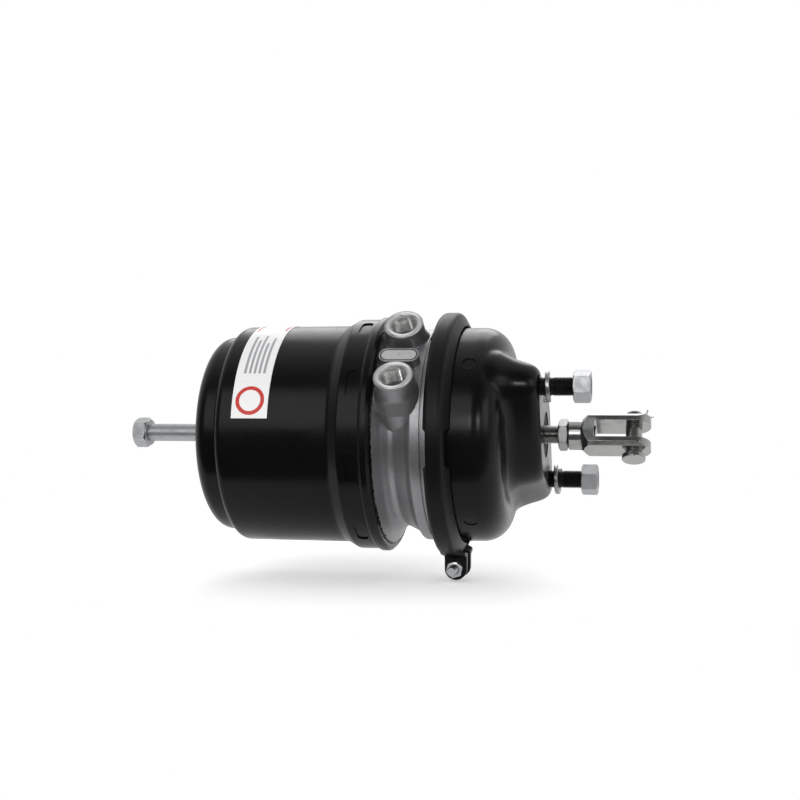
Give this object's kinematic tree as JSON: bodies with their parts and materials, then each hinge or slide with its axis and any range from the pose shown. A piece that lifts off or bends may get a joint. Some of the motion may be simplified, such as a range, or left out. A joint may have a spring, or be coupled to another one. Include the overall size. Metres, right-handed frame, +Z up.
{
  "type": "combined service and spring brake chamber",
  "caption": "Combined service and spring brake chamber with a clamped diaphragm, mounting studs and a clevis on its push rod.",
  "frame": {"origin": "centre of the flat mounting face on the nose of the service housing", "axes": "+X along the chamber's axis, out of the mounting face and towards the clevis, +Z up as pictured, with the studs rolled 47 degrees from +Z towards -Y"},
  "size_m": [0.4711, 0.215, 0.2331],
  "materials": {
    "black_paint": "semi-gloss black paint on drawn steel",
    "band_paint": "satin black coating",
    "cast_aluminium": "as cast, with machined faces",
    "zinc_plate": "bright zinc plating",
    "black_steel": "black phosphated steel",
    "bright_steel": "plain bright steel",
    "spring_steel": "painted spring steel",
    "rubber": "matte moulded rubber",
    "nylon": "plain nylon",
    "sticker": "white sticker with red marks and no words"
  },
  "bodies": {
    "chamber": {"spring_housing": "black_paint", "release_bush": "bright_steel", "flange_body": "cast_aluminium", "flange_o_ring": "rubber", "tube_lip_seal": "rubber", "tube_guide_bush": "nylon", "power_spring": "spring_steel", "diaphragm": "rubber", "return_spring": "spring_steel", "service_housing": "black_paint", "rod_seal": "rubber", "vent_plugs": "rubber", "clamp_band": "band_paint", "clamp_bolt": "zinc_plate", "clamp_nut": "zinc_plate", "mounting_studs": "black_steel", "label": "sticker"},
    "release_foot": {"release_bolt_foot": "bright_steel"},
    "release_screw": {"release_bolt": "zinc_plate", "foot_lock_nut": "zinc_plate"},
    "power_piston_group": {"power_piston": "cast_aluminium", "piston_tube": "bright_steel", "tube_thrust_cap": "nylon", "piston_lip_seal": "rubber", "piston_guide_ring": "nylon"},
    "push_rod_group": {"push_plate": "zinc_plate", "push_rod": "zinc_plate", "jam_nut": "zinc_plate", "clevis": "zinc_plate"},
    "clevis_pin_group": {"clevis_pin": "zinc_plate", "cotter_pin": "bright_steel"},
    "upper_nut_group": {"mounting_nut_upper": "zinc_plate", "lock_washer_upper": "zinc_plate"},
    "lower_nut_group": {"mounting_nut_lower": "zinc_plate", "lock_washer_lower": "zinc_plate"}
  },
  "joints": [
    {"name": "service_stroke", "type": "slide", "parent": "chamber", "child": "push_rod_group", "axis": [1, 0, 0], "range_m": [0, 0.057], "deforming": ["return_spring", "diaphragm"]},
    {"name": "power_piston_travel", "type": "slide", "parent": "chamber", "child": "power_piston_group", "axis": [1, 0, 0], "range_m": [-0.003, 0], "deforming": ["power_spring"]},
    {"name": "release_bolt_travel", "type": "slide", "parent": "chamber", "child": "release_foot", "axis": [1, 0, 0], "range_m": [0, 0.0696]},
    {"name": "release_bolt_turn", "type": "hinge", "parent": "release_foot", "child": "release_screw", "pos_m": [-0.292, 0, 0], "axis": [1, 0, 0], "range_deg": [0, 12528]},
    {"name": "clevis_pin_turn", "type": "hinge", "parent": "push_rod_group", "child": "clevis_pin_group", "pos_m": [0.075, 0, 0], "axis": [0, 0.454, 0.891], "continuous": true},
    {"name": "upper_nut_off", "type": "slide", "parent": "chamber", "child": "upper_nut_group", "axis": [1, 0, 0], "range_m": [0, 0.055]},
    {"name": "lower_nut_off", "type": "slide", "parent": "chamber", "child": "lower_nut_group", "axis": [1, 0, 0], "range_m": [0, 0.055]}
  ],
  "couplings": [
    {"joint": "release_bolt_turn", "follows": "release_bolt_travel", "rad_per_m": 3141.6}
  ]
}
